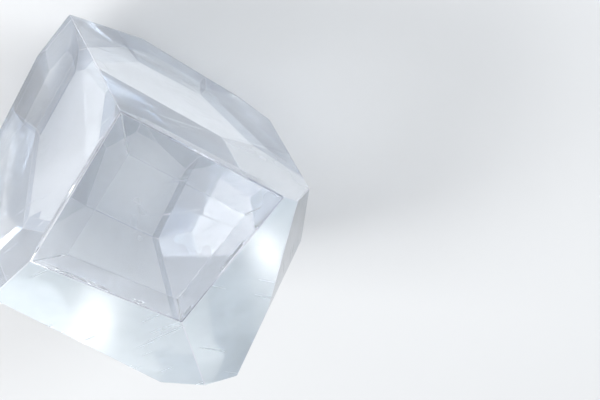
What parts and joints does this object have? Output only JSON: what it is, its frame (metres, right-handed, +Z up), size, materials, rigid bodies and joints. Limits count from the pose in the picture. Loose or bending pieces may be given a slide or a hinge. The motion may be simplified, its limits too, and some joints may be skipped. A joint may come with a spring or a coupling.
{
  "type": "display cube",
  "caption": "Solid clear acrylic display cube with hand-cut facets: mitred facet plates on a cast core, with a lift-off top cover plate.",
  "frame": {"origin": "on the flat resting face of base_plate, straight below the cube's centre", "axes": "+Z up towards the cover, +X towards right_wall, +Y towards back_wall"},
  "size_m": [0.0893, 0.087, 0.085],
  "materials": {
    "shell_acrylic": "polished, slightly milky clear cast acrylic",
    "cover_acrylic": "polished, slightly milky clear cast acrylic"
  },
  "bodies": {
    "shell": {"core_block": "shell_acrylic", "base_plate": "shell_acrylic", "back_wall": "shell_acrylic", "left_wall": "shell_acrylic", "front_wall": "shell_acrylic", "right_wall": "shell_acrylic", "front_shoulder": "shell_acrylic", "right_shoulder": "shell_acrylic", "front_right_corner": "shell_acrylic", "back_right_corner": "shell_acrylic", "front_left_corner": "shell_acrylic", "shoulder_corner_flat": "shell_acrylic", "back_foot_bevel": "shell_acrylic", "left_foot_bevel": "shell_acrylic", "front_foot_bevel": "shell_acrylic", "right_foot_bevel": "shell_acrylic", "back_left_foot_corner": "shell_acrylic"},
    "cover": {"cover_plate": "cover_acrylic"}
  },
  "joints": [
    {"name": "cover_lift", "type": "slide", "parent": "shell", "child": "cover", "axis": [0, 0, 1], "range_m": [0, 0.04]}
  ]
}
